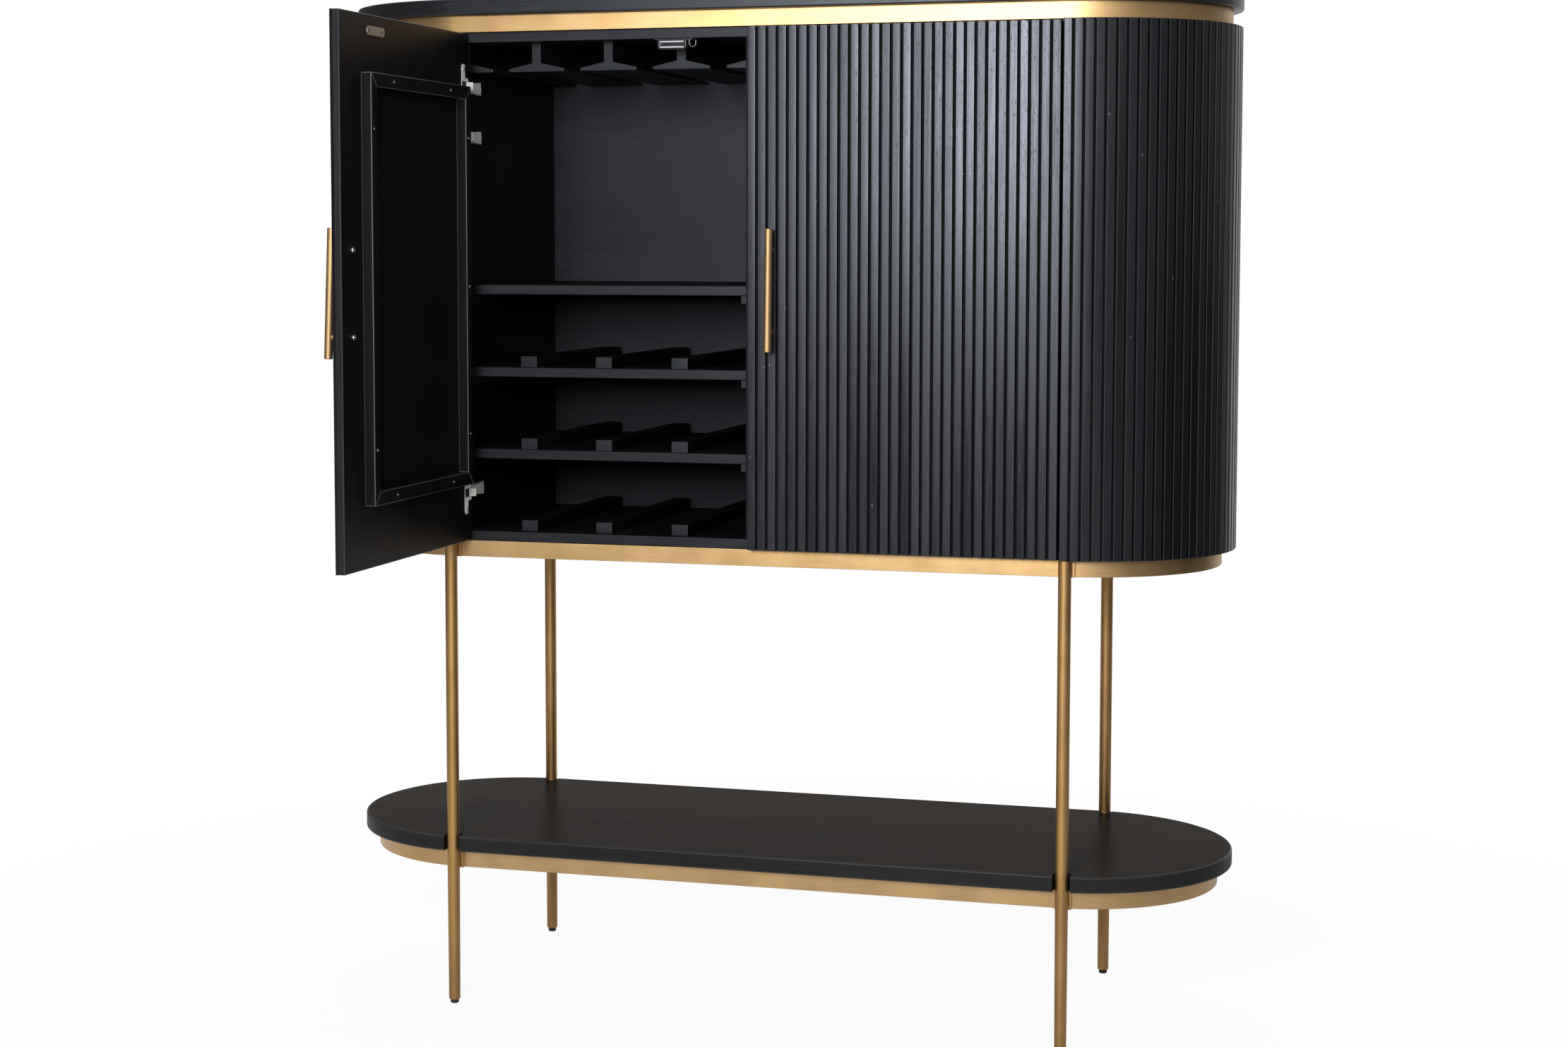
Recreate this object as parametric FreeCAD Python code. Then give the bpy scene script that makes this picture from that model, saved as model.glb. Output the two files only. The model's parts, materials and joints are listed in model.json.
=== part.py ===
import FreeCAD, Part
import math
import os

from FreeCAD import Vector

# Bar cabinet with round ends, on four tube legs with an open shelf below.
# Millimetres. X is to the right, -Y is the front, +Z is up.
# The origin is on the floor, under the middle of the cabinet.

fastener_sides = 10

# Footprint and the stack of heights
straight_length = 930.0         # straight run between the centres of the round ends
depth = 465.0                   # over the two slabs
slab_thickness = 24.0
slab_edge_chamfer = 2.0
shelf_band_bottom = 213.0       # floor to the underside of the lower shelf's band
shelf_band_height = 28.0
base_band_bottom = 700.0        # floor to the underside of the cabinet's band
base_band_height = 25.0
body_height = 775.0
top_band_height = 25.0
top_band_inset = 15.5           # slab edge to the face of the top band
band_width = 12.0

# Legs and feet
leg_diameter = 19.0
leg_wall = 1.5
leg_offset = 9.5                # leg axis beyond the end of the straight run
leg_foot_diameter = 17.5        # at the foot, below the taper
leg_pad_width = 26.0
leg_pad_thickness = 2.5         # between the band and the leg's nearest point
leg_pad_wrap = 2.5              # how far the pad's saddle reaches round the leg
leg_notch_clearance = 3.5
leg_end_turn = 2.0              # how far the tube turns in at its foot
leg_end_wall = 3.0              # closed end of the tube, bored for the stem of the foot
foot_cap_height = 6.0
foot_cap_diameter = 13.0
foot_cap_chamfer = 2.0
foot_stem_diameter = 8.0
foot_stem_length = 14.0
foot_stem_clearance = 0.1

# Carcass
panel_thickness = 15.0
back_thickness = 8.0
end_panel_thickness = 8.0
side_setback = 3.0              # inner face of a side panel, in from the round end's centre
panel_edge_chamfer = 1.0

# Slats
slat_count = 30                 # on each door
slat_gap = 3.4
slat_thickness = 4.5
slat_inset = 1.0                # slab edge to the face of the slats

# Doors
door_panel_thickness = 10.0
door_gap = 9.0                  # carcass front to the inner face of a closed door
door_bottom_gap = 1.0
door_top_gap = 2.0
centre_gap = 3.0                # between the two closed doors
door_side_play = 1.5            # hinge edge of the door, in from the round end's centre
end_gap = 3.6                   # hinge edge of the door to the round end
left_door_open_angle = 90.5     # the left door stands open, the right one is shut

# Stiffening frame on the inside of each door
frame_bar_width = 20.0
frame_thickness = 16.0
frame_hinge_margin = 31.0
frame_free_margin = 68.5
frame_top_margin = 81.0
frame_bottom_margin = 89.0
frame_edge_chamfer = 1.0

# Handles
handle_slat = 2                 # the slat that carries the posts, counted from the free edge
handle_diameter = 11.5
handle_length = 181.0
handle_low_standoff = 24.0      # slat face to the axis of the bar, at its lower end
handle_high_standoff = 17.0     # and at its upper end
handle_post_spacing = 120.0
handle_post_diameter = 8.0
handle_screw_radius = 2.0
handle_screw_depth = 9.0        # reach into the post
handle_screw_head_radius = 4.5
handle_screw_head = 2.2

# Concealed hinges
hinge_low = 75.0                # lowest hinge above the bottom of the body
hinge_second = 156.0            # second hinge below the top of the body
hinge_high = 81.0               # highest hinge below the top of the body
pivot_inset = 13.0              # pin axis from the hinge edge of the door
pivot_depth = 5.6               # pin axis below the inner face of the door
pin_diameter = 3.0
pin_clearance = 0.05
pin_length = 22.0
cup_margin = 3.5                # hinge edge of the door to the cup
cup_length = 26.0
cup_depth = 9.5
cup_half_height = 12.0
cup_corner_chamfer = 3.0
cup_wall = 1.0
cup_floor = 0.5
cup_flange_thickness = 0.9
cup_wing_width = 13.0           # screw wings of the flange, on the side away from the hinge edge
cup_wing_half_height = 32.5
arm_height = 12.0               # of the neck, in the cup
arm_play = 0.5                  # each side of the arm in its slot
arm_eye_wall = 1.45
arm_strip = 2.0
arm_neck_clearance = 0.57       # swing of the door's inner corner to the neck
arm_neck_start = 28.0           # degrees, where the neck leaves the cup
arm_neck_end = 105.0            # degrees, where the neck meets the arm
arm_width = 6.0
arm_length = 52.0
arm_body_height = 14.0
arm_flare_height = 19.5         # at the rear end of the arm
arm_flare_length = 18.0
arm_plate_thickness = 2.0
arm_plate_half_height = 8.5
arm_plate_start = 24.0          # behind the pin axis
arm_plate_length = 52.0

# Magnetic catches and their strike plates
catch_from_middle = 120.0
catch_width = 44.0
catch_height = 14.5
catch_length = 14.0
catch_plate_width = 59.0
catch_plate_length = 22.0
catch_plate_thickness = 2.0
catch_plate_setback = 1.0
catch_edge_chamfer = 3.0
catch_slot_height = 5.0
catch_slot_depth = 3.0
catch_air_gap = 0.3
strike_width = 60.0
strike_height = 13.0
strike_thickness = 1.5
strike_hole_radius = 2.5
strike_hole_offset = 21.0
strike_corner_chamfer = 4.0

# Shelves, bottle rails and cleats
shelf_thickness = 15.0
shelf_setback = 11.5
bottle_space = 111.0            # clear height of a bottle level
shelf_count = 3
bottle_rail_width = 26.0
bottle_rail_height = 17.0
bottle_rail_pitch = 120.5
bottle_rail_rear_gap = 14.0
cleat_size = 12.0
cleat_front_setback = 5.0
cleat_rear_gap = 18.0

# Stemware rails
stem_rail_pitch = 115.6
stem_rail_flange = 90.0
stem_rail_web = 14.7
stem_rail_drop = 43.0
stem_rail_lip = 5.0             # flange thickness at its edge
stem_rail_root = 13.5           # flange thickness at the web
stem_rail_setback = 38.5
stem_rail_rear_gap = 18.0

# Heights and radii worked out from the sizes above
half_straight = straight_length / 2
end_radius = depth / 2
shelf_bottom = shelf_band_bottom + shelf_band_height
body_bottom = base_band_bottom + base_band_height
body_top = body_bottom + body_height
slab_bottom = body_top + top_band_height
inside_bottom = body_bottom + panel_thickness
inside_top = body_top - panel_thickness

leg_radius = leg_diameter / 2
leg_x = half_straight + leg_offset
leg_y = end_radius - leg_radius
lower_band_radius = leg_y - leg_radius - leg_pad_thickness
top_band_radius = end_radius - top_band_inset

slat_face = end_radius - slat_inset
panel_face = slat_face - slat_thickness
end_inner = panel_face - end_panel_thickness
door_inner = panel_face - door_panel_thickness
carcass_front = -(door_inner - door_gap)
carcass_rear = end_inner
side_inner = half_straight - side_setback
divider_half = panel_thickness / 2

door_free_edge = centre_gap / 2
door_hinge_edge = half_straight - door_side_play
door_width = door_hinge_edge - door_free_edge
door_bottom = body_bottom + door_bottom_gap
door_top = body_top - door_top_gap
door_middle = (door_bottom + door_top) / 2
end_start = door_hinge_edge + end_gap
slat_pitch = (door_width + slat_gap) / slat_count
slat_width = slat_pitch - slat_gap

pivot_x = door_hinge_edge - pivot_inset
pivot_y = -door_inner - pivot_depth
hinge_heights = (body_bottom + hinge_low, body_top - hinge_second, body_top - hinge_high)


def box(x, y, z):
    """A box between pairs of low and high values."""
    return Part.makeBox(x[1] - x[0], y[1] - y[0], z[1] - z[0], Vector(x[0], y[0], z[0]))


def rod(radius, start, end):
    """A round bar between two points."""
    return Part.makeCylinder(radius, (end - start).Length, start, end - start)


def stud(radius, start, end):
    """A small round fastener or bore, as a prism with few sides."""
    along = end - start
    across = Vector(0, 0, 1) if abs(along.z) < 1e-6 else Vector(1, 0, 0)
    other = along.cross(across).normalize()
    turns = [2 * math.pi * side / fastener_sides for side in range(fastener_sides)]
    rim = [start + across * (radius * math.cos(a)) + other * (radius * math.sin(a)) for a in turns]
    return polygon(rim).extrude(along)


def outline(edges):
    """A flat face from a closed run of lines and arcs, given as point lists."""
    curves = [Part.LineSegment(*e) if len(e) == 2 else Part.Arc(*e) for e in edges]
    return Part.Face(Part.Wire([curve.toShape() for curve in curves]))


def polygon(points):
    """A flat face from its corners."""
    return Part.Face(Part.makePolygon(points + points[:1]))


def stadium(radius, low, high):
    """A plate with straight sides and round ends."""
    a = Vector(-half_straight, -radius, low)
    b = Vector(half_straight, -radius, low)
    c = Vector(half_straight, radius, low)
    d = Vector(-half_straight, radius, low)
    right = Vector(half_straight + radius, 0, low)
    left = Vector(-half_straight - radius, 0, low)
    return outline([(a, b), (b, right, c), (c, d), (d, left, a)]).extrude(Vector(0, 0, high - low))


def end_point(radius, angle, z):
    """A point on the right round end, by its angle from the front."""
    turn = math.radians(angle)
    return Vector(half_straight + radius * math.sin(turn), -radius * math.cos(turn), z)


def sector(place, inner, outer, start, end, low, high):
    """A piece of a ring; place gives a point from a radius, an angle and a height."""
    middle = (start + end) / 2
    a = place(outer, start, low)
    b = place(outer, end, low)
    c = place(inner, end, low)
    d = place(inner, start, low)
    edges = [(a, place(outer, middle, low), b), (b, c), (c, place(inner, middle, low), d), (d, a)]
    return outline(edges).extrude(Vector(0, 0, high - low))


def mirrored(shape):
    """The same piece on the left of the cabinet."""
    return shape.mirror(Vector(0, 0, 0), Vector(1, 0, 0))


def mirrored_back(shape):
    """The same piece at the rear of the cabinet."""
    return shape.mirror(Vector(0, 0, 0), Vector(0, 1, 0))


def at_each_leg(shape):
    """A front right piece at all four legs."""
    pair = [shape, mirrored(shape)]
    return pair + [mirrored_back(piece) for piece in pair]


def opened(shape):
    """A piece of the left door, from the right door's, swung open about its hinge pins."""
    piece = mirrored(shape)
    piece.rotate(Vector(-pivot_x, pivot_y, 0), Vector(0, 0, 1), -left_door_open_angle)
    return piece


def group(solids):
    return Part.makeCompound(solids)


def write(name, shape):
    shape.exportStep(f"parts/{name}.step")


# Slabs and bands


def slab(low):
    plate = stadium(end_radius, low, low + slab_thickness)
    rims = [edge for edge in plate.Edges if edge.BoundBox.ZLength < 1e-6]
    return plate.makeChamfer(slab_edge_chamfer, rims)


def lower_shelf():
    """The slab of the open shelf, notched where the legs pass."""
    plate = slab(shelf_bottom)
    half = leg_radius + leg_notch_clearance
    deep = leg_y - leg_radius - leg_notch_clearance
    for side in (-1, 1):
        x = side * leg_x
        z = (shelf_bottom, shelf_bottom + slab_thickness)
        front = box((x - half, x + half), (-end_radius, -deep), z)
        plate = plate.cut(front.fuse(mirrored_back(front)))
    return plate


def band(radius, low, height):
    """A flat metal ring that follows the outline."""
    return stadium(radius, low, low + height).cut(stadium(radius - band_width, low, low + height))


# Legs and feet


def leg_pad(low, height):
    """A saddle between a band and a leg, shaped to both."""
    x = (leg_x - leg_pad_width / 2, leg_x + leg_pad_width / 2)
    y = (-(lower_band_radius + leg_pad_thickness + leg_pad_wrap), -(lower_band_radius - band_width / 2))
    z = (low, low + height)
    bar = rod(leg_radius, Vector(leg_x, -leg_y, low), Vector(leg_x, -leg_y, low + height))
    return box(x, y, z).cut(stadium(lower_band_radius, low, low + height)).cut(bar)


def leg():
    """A tube that tapers below the shelf and turns in at its closed foot, at the front right."""
    foot = leg_foot_diameter / 2
    end = foot_cap_height
    up = Vector(0, 0, 1)
    levels = (
        (foot - leg_end_turn, end),
        (foot, end + leg_end_turn),
        (leg_radius, shelf_band_bottom),
        (leg_radius, body_bottom),
    )
    circles = [Part.Circle(Vector(leg_x, -leg_y, z), up, r) for r, z in levels]
    bar = Part.makeLoft([Part.Wire(circle.toBSpline().toShape()) for circle in circles], True, True)
    bore = Part.makeCylinder(foot - leg_wall, body_bottom, Vector(leg_x, -leg_y, end + leg_end_wall))
    stem_hole = stud(
        foot_stem_diameter / 2 + foot_stem_clearance,
        Vector(leg_x, -leg_y, end),
        Vector(leg_x, -leg_y, end + leg_end_wall),
    )
    return bar.cut(bore).cut(stem_hole)


def foot_cap():
    """A plastic foot with a push-in stem, at the front right."""
    centre = Vector(leg_x, -leg_y, 0)
    rim = Part.makeCylinder(foot_cap_diameter / 2, foot_cap_height, centre)
    rim = rim.makeChamfer(foot_cap_chamfer, [edge for edge in rim.Edges if edge.BoundBox.ZMax < 1e-6])
    stem_base = centre + Vector(0, 0, foot_cap_height)
    stem = stud(foot_stem_diameter / 2, stem_base, stem_base + Vector(0, 0, foot_stem_length))
    return rim.fuse(stem)


# Carcass


def carcass_plate(low):
    """Top or bottom of the carcass: straight at the front, with round ends that carry the end panels."""
    step = end_start - half_straight
    ledge = -math.sqrt(end_inner ** 2 - step ** 2)
    right = [
        Vector(end_start, carcass_front, low),
        Vector(end_start, ledge, low),
        Vector(half_straight + end_inner, 0, low),
        Vector(half_straight, carcass_rear, low),
    ]
    left = [Vector(-p.x, p.y, p.z) for p in right]
    edges = [
        (left[0], right[0]),
        (right[0], right[1]),
        (right[1], right[2], right[3]),
        (right[3], left[3]),
        (left[3], left[2], left[1]),
        (left[1], left[0]),
    ]
    return outline(edges).extrude(Vector(0, 0, panel_thickness))


def end_core(low, high):
    """The space inside the right end panel."""
    return Part.makeCylinder(end_inner, high - low, Vector(half_straight, 0, low))


def side_panel():
    """An upright panel with a rebate at its front, where the end panel is glued on."""
    outer = side_inner + panel_thickness
    z = (inside_bottom, inside_top)
    wall = box((side_inner, outer), (carcass_front, carcass_rear), z)
    stile = box((end_start, outer), (-end_inner, carcass_front), z)
    return wall.fuse(stile).common(end_core(*z)).removeSplitter()


def end_panel():
    """The bent panel of the right end, from the door's hinge edge round to the back."""
    step = end_start - half_straight
    front_outer = Vector(end_start, -math.sqrt(panel_face ** 2 - step ** 2), body_bottom)
    front_inner = Vector(end_start, -math.sqrt(end_inner ** 2 - step ** 2), body_bottom)
    back_outer = Vector(half_straight, panel_face, body_bottom)
    back_inner = Vector(half_straight, end_inner, body_bottom)
    edges = [
        (front_outer, end_point(panel_face, 90, body_bottom), back_outer),
        (back_outer, back_inner),
        (back_inner, end_point(end_inner, 90, body_bottom), front_inner),
        (front_inner, front_outer),
    ]
    return outline(edges).extrude(Vector(0, 0, body_height))


def end_slats():
    """Flat slats round the right end, at about the pitch of the doors' slats."""
    first = math.degrees(math.asin((end_start - half_straight) / panel_face))
    gap = math.degrees(slat_gap / slat_face)
    count = round((180 - first + gap) / math.degrees(slat_pitch / slat_face))
    pitch = (180 - first + gap) / count
    half = panel_face * math.tan(math.radians((pitch - gap) / 2))
    strip = box((-half, half), (-slat_face, -panel_face), (body_bottom, body_top))
    strip.translate(Vector(half_straight, 0, 0))
    slats = []
    for index in range(count):
        slat = strip.copy()
        turn = first + (pitch - gap) / 2 + index * pitch
        slat.rotate(Vector(half_straight, 0, 0), Vector(0, 0, 1), turn)
        slats.append(slat)
    return group(slats)


# Shelves and rails of the right compartment


def front_edges(plate, y):
    """The long edges at the front of a shelf."""
    return [e for e in plate.Edges if e.BoundBox.YMax < y + 1e-6 and e.BoundBox.ZLength < 1e-6]


def shelf_height(level):
    """Underside of a shelf, counted up from the bottom panel."""
    return inside_bottom + level * bottle_space + (level - 1) * shelf_thickness


def shelf(level):
    low = shelf_height(level)
    front = carcass_front + shelf_setback
    plate = box((divider_half, side_inner), (front, carcass_rear), (low, low + shelf_thickness))
    return plate.makeChamfer(panel_edge_chamfer, front_edges(plate, front))


def bottle_rails():
    """Front-to-back rails that keep bottles apart, on the bottom panel and the two lower shelves."""
    middle = (divider_half + side_inner) / 2
    rails = []
    for level in range(shelf_count):
        low = inside_bottom + level * (bottle_space + shelf_thickness)
        for index in (-1, 0, 1):
            x = middle + index * bottle_rail_pitch
            rails.append(box(
                (x - bottle_rail_width / 2, x + bottle_rail_width / 2),
                (carcass_front + shelf_setback, carcass_rear - bottle_rail_rear_gap),
                (low, low + bottle_rail_height),
            ))
    return group(rails)


def shelf_cleats():
    """Battens under the ends of each shelf."""
    y = (carcass_front + shelf_setback + cleat_front_setback, carcass_rear - cleat_rear_gap)
    cleats = []
    for level in range(1, shelf_count + 1):
        high = shelf_height(level)
        z = (high - cleat_size, high)
        cleats.append(box((divider_half, divider_half + cleat_size), y, z))
        cleats.append(box((side_inner - cleat_size, side_inner), y, z))
    return group(cleats)


def stem_rails():
    """T-shaped rails for hanging stemware, with part rails against the divider and the side."""
    middle = (divider_half + side_inner) / 2
    front = carcass_front + stem_rail_setback
    length = carcass_rear - stem_rail_rear_gap - front
    bottom = inside_top - stem_rail_drop
    flange = stem_rail_flange / 2
    web = stem_rail_web / 2
    half = [(flange, 0), (flange, stem_rail_lip), (web, stem_rail_root), (web, stem_rail_drop)]
    section = half + [(-x, z) for x, z in reversed(half)]
    room = box((divider_half, side_inner), (front, front + length), (bottom, inside_top))
    pairs = int(((side_inner - divider_half) / 2 + flange) // stem_rail_pitch)
    rails = []
    for index in range(-pairs, pairs + 1):
        x = middle + index * stem_rail_pitch
        face = polygon([Vector(x + dx, front, bottom + dz) for dx, dz in section])
        rails += face.extrude(Vector(0, length, 0)).common(room).Solids
    return group(rails)


# Hinges, for the right door when it is shut


def hinge_point(radius, angle, z):
    """A point round the hinge pin, by its angle from the inside of the door towards the back."""
    turn = math.radians(angle)
    return Vector(pivot_x - radius * math.cos(turn), pivot_y + radius * math.sin(turn), z)


def hinge_pin(z):
    return Part.makeCylinder(pin_diameter / 2, pin_length, Vector(pivot_x, pivot_y, z - pin_length / 2))


def pin_bore(radius, low, high):
    """A bore round the hinge pin, with few sides, whose flats lie at the radius."""
    return stud(radius / math.cos(math.pi / fastener_sides), hinge_point(0, 0, low), hinge_point(0, 0, high))


def cornered_plate(x, y, z, corner):
    """A box whose four edges along Y are cut off."""
    plate = box(x, y, z)
    corners = [edge for edge in plate.Edges if edge.BoundBox.YLength > y[1] - y[0] - 1e-6]
    return plate.makeChamfer(corner, corners)


def cup_body(z):
    """The part of the cup that is sunk into the door."""
    x = (door_hinge_edge - cup_margin - cup_length, door_hinge_edge - cup_margin)
    y = (-door_inner - cup_depth, -door_inner)
    return cornered_plate(x, y, (z - cup_half_height, z + cup_half_height), cup_corner_chamfer)


def hinge_cup(z):
    """A cast cup with two screw wings, slotted for the arm and bored for the pin."""
    x = (door_hinge_edge - cup_margin - cup_length, door_hinge_edge - cup_margin)
    y = (-door_inner, -door_inner + cup_flange_thickness)
    rim = cornered_plate(x, y, (z - cup_half_height, z + cup_half_height), cup_corner_chamfer)
    wing_x = (x[0], x[0] + cup_wing_width)
    wing_z = (z - cup_wing_half_height, z + cup_wing_half_height)
    flange = rim.fuse(cornered_plate(wing_x, y, wing_z, cup_corner_chamfer))
    slot_half = arm_height / 2 + arm_play
    slot = box(
        (x[0] + cup_wall, x[1] - cup_wall),
        (-door_inner - cup_depth + cup_floor, y[1]),
        (z - slot_half, z + slot_half),
    )
    bore = pin_bore(pin_diameter / 2, z - pin_length / 2, z + pin_length / 2)
    return cup_body(z).fuse(flange).removeSplitter().cut(slot).cut(bore)


def hinge_arm(z):
    """An arm on the side panel, flared at its rear; its neck goes round the door's edge to the pin."""
    low = z - arm_height / 2
    high = z + arm_height / 2
    swing = math.hypot(pivot_inset, pivot_depth)
    neck_inner = swing + arm_neck_clearance
    neck_outer = neck_inner + arm_strip
    eye_inner = pin_diameter / 2 + pin_clearance
    eye_outer = eye_inner + arm_eye_wall
    eye = stud(eye_outer, hinge_point(0, 0, low), hinge_point(0, 0, high))
    spread = math.degrees(arm_strip / 2 / neck_outer)
    tip = hinge_point(neck_outer, arm_neck_start + spread, low)
    strip = tip - hinge_point(0, 0, low)
    across = Vector(-strip.y, strip.x, 0).normalize() * (arm_strip / 2)
    root = hinge_point(0, 0, low)
    spoke = polygon([root - across, tip - across, tip + across, root + across])
    spoke = spoke.extrude(Vector(0, 0, arm_height))
    neck = sector(hinge_point, neck_inner, neck_outer, arm_neck_start, arm_neck_end, low, high)
    plate_x = (side_inner - arm_plate_thickness, side_inner)
    plate_y = (pivot_y + arm_plate_start, pivot_y + arm_plate_start + arm_plate_length)
    plate = box(plate_x, plate_y, (z - arm_plate_half_height, z + arm_plate_half_height))
    bar_x = plate_x[0] - arm_width
    front = pivot_y + neck_inner
    rear = front + arm_length
    half = [
        (front, arm_body_height / 2),
        (rear - arm_flare_length, arm_body_height / 2),
        (rear, arm_flare_height / 2),
    ]
    side = [(y, z + h) for y, h in half] + [(y, z - h) for y, h in reversed(half)]
    bar = polygon([Vector(bar_x, y, height) for y, height in side]).extrude(Vector(arm_width, 0, 0))
    return eye.multiFuse([spoke, neck, bar, plate]).removeSplitter().cut(pin_bore(eye_inner, low, high))


# Magnetic catch and strike of the right door


def catch_middle():
    """Height of the magnet and of the strike plate that meets it."""
    return inside_top - catch_plate_thickness - catch_height / 2


def catch_front():
    return -door_inner + strike_thickness + catch_air_gap


def catch():
    """A magnet housing with two pole plates, on a plate under the carcass top."""
    plate_y = carcass_front + catch_plate_setback
    plate_x = (catch_from_middle - catch_plate_width / 2, catch_from_middle + catch_plate_width / 2)
    plate_z = (inside_top - catch_plate_thickness, inside_top)
    plate = box(plate_x, (plate_y, plate_y + catch_plate_length), plate_z)
    x = (catch_from_middle - catch_width / 2, catch_from_middle + catch_width / 2)
    low = plate_z[0] - catch_height
    body = box(x, (catch_front(), catch_front() + catch_length), (low, plate_z[0]))
    ends = [edge for edge in body.Edges if edge.BoundBox.YLength > catch_length - 1e-6]
    body = body.makeChamfer(catch_edge_chamfer, [edge for edge in ends if edge.BoundBox.ZMax < low + 1e-6])
    slot = box(
        (x[0] + catch_edge_chamfer, x[1] - catch_edge_chamfer),
        (catch_front(), catch_front() + catch_slot_depth),
        (catch_middle() - catch_slot_height / 2, catch_middle() + catch_slot_height / 2),
    )
    return body.cut(slot).fuse(plate).removeSplitter()


def strike_plate():
    """A steel plate with two screw holes, on the inside of the door."""
    y = (-door_inner, -door_inner + strike_thickness)
    x = (catch_from_middle - strike_width / 2, catch_from_middle + strike_width / 2)
    z = (catch_middle() - strike_height / 2, catch_middle() + strike_height / 2)
    plate = cornered_plate(x, y, z, strike_corner_chamfer)
    for side in (-strike_hole_offset, strike_hole_offset):
        start = Vector(catch_from_middle + side, y[0], catch_middle())
        plate = plate.cut(stud(strike_hole_radius, start, start + Vector(0, strike_thickness, 0)))
    return plate


# The right door, shut


def handle_axis():
    """Place of the handle's posts, on the middle of a slat."""
    return door_free_edge + handle_slat * slat_pitch + slat_width / 2


def handle_screw(side):
    """A machine screw from the inside of the door into a post, with its head."""
    x = handle_axis()
    z = door_middle + side * handle_post_spacing / 2
    face = Vector(x, -door_inner, z)
    shank = stud(handle_screw_radius, face, Vector(x, -slat_face - handle_screw_depth, z))
    head = stud(handle_screw_head_radius, face, face + Vector(0, handle_screw_head, 0))
    return shank.fuse(head)


def handle():
    """A round bar on two posts, the lower one longer, so that the bar leans out at its foot."""
    x = handle_axis()
    low = Vector(x, -slat_face - handle_low_standoff, door_middle - handle_length / 2)
    high = Vector(x, -slat_face - handle_high_standoff, door_middle + handle_length / 2)
    bar = rod(handle_diameter / 2, low, high)
    for side in (-1, 1):
        share = 0.5 + side * handle_post_spacing / handle_length / 2
        top = low + (high - low) * share
        bar = bar.fuse(rod(handle_post_diameter / 2, Vector(x, -slat_face, top.z), top))
        bar = bar.cut(handle_screw(side))
    return bar.removeSplitter()


def door_panel():
    x = (door_free_edge, door_hinge_edge)
    panel = box(x, (-panel_face, -door_inner), (door_bottom, door_top))
    inner = [e for e in panel.Edges if e.BoundBox.YMin > -door_inner - 1e-6]
    panel = panel.makeChamfer(panel_edge_chamfer, inner)
    cuts = [cup_body(z) for z in hinge_heights] + [handle_screw(side) for side in (-1, 1)]
    for cut in cuts:
        panel = panel.cut(cut)
    return panel


def door_slats():
    slats = []
    for index in range(slat_count):
        x = door_free_edge + index * slat_pitch
        slat = box((x, x + slat_width), (-slat_face, -panel_face), (door_bottom, door_top))
        if index == handle_slat:
            slat = slat.cut(handle_screw(-1)).cut(handle_screw(1))
        slats.append(slat)
    return group(slats)


def frame_box():
    """Outer corners of the stiffening frame."""
    x = (door_free_edge + frame_free_margin, door_hinge_edge - frame_hinge_margin)
    z = (door_bottom + frame_bottom_margin, door_top - frame_top_margin)
    return x, z


def door_frame():
    """A ring of bars that keeps the door flat."""
    x, z = frame_box()
    face = -door_inner + frame_thickness
    ring = box(x, (-door_inner, face), z)
    hole_x = (x[0] + frame_bar_width, x[1] - frame_bar_width)
    hole_z = (z[0] + frame_bar_width, z[1] - frame_bar_width)
    ring = ring.cut(box(hole_x, (-door_inner, face), hole_z))
    edges = [e for e in ring.Edges if e.BoundBox.YMin > face - 1e-6]
    return ring.makeChamfer(frame_edge_chamfer, edges)


# Write every piece

os.makedirs("parts", exist_ok=True)

write("top_slab", slab(slab_bottom))
write("top_band", band(top_band_radius, body_top, top_band_height))
write("base_band", band(lower_band_radius, base_band_bottom, base_band_height))
write("shelf_band", band(lower_band_radius, shelf_band_bottom, shelf_band_height))
write("lower_shelf", lower_shelf())

for name, piece in zip(("front_right", "front_left", "rear_right", "rear_left"), at_each_leg(leg())):
    write(f"{name}_leg", piece)
shelf_pads = at_each_leg(leg_pad(shelf_band_bottom, shelf_band_height))
base_pads = at_each_leg(leg_pad(base_band_bottom, base_band_height))
write("leg_pads", group(shelf_pads + base_pads))
write("foot_caps", group(at_each_leg(foot_cap())))

write("carcass_bottom", carcass_plate(body_bottom))
write("carcass_top", carcass_plate(inside_top))
divider_y = (carcass_front, carcass_rear)
write("centre_divider", box((-divider_half, divider_half), divider_y, (inside_bottom, inside_top)))
back_y = (carcass_rear, carcass_rear + back_thickness)
write("back_panel", box((-half_straight, half_straight), back_y, (body_bottom, body_top)))

fixed_pieces = {
    "side_panel": side_panel(),
    "end_panel": end_panel(),
    "end_slats": end_slats(),
    "lower_bottle_shelf": shelf(1),
    "upper_bottle_shelf": shelf(2),
    "plain_shelf": shelf(3),
    "bottle_rails": bottle_rails(),
    "shelf_cleats": shelf_cleats(),
    "stemware_rails": stem_rails(),
    "hinge_arms": group([hinge_arm(z) for z in hinge_heights]),
    "catch": catch(),
}
for name, piece in fixed_pieces.items():
    write(f"right_{name}", piece)
    write(f"left_{name}", mirrored(piece))

door_pieces = {
    "door_panel": door_panel(),
    "door_slats": door_slats(),
    "door_frame": door_frame(),
    "door_handle": handle(),
    "handle_screws": group([handle_screw(side) for side in (-1, 1)]),
    "strike_plate": strike_plate(),
    "hinge_cups": group([hinge_cup(z) for z in hinge_heights]),
    "hinge_pins": group([hinge_pin(z) for z in hinge_heights]),
}
for name, piece in door_pieces.items():
    write(f"right_{name}", piece)
    write(f"left_{name}", opened(piece))
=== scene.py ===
import json
import math
import random

import bmesh
import bpy
from mathutils import Matrix, Vector

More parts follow.
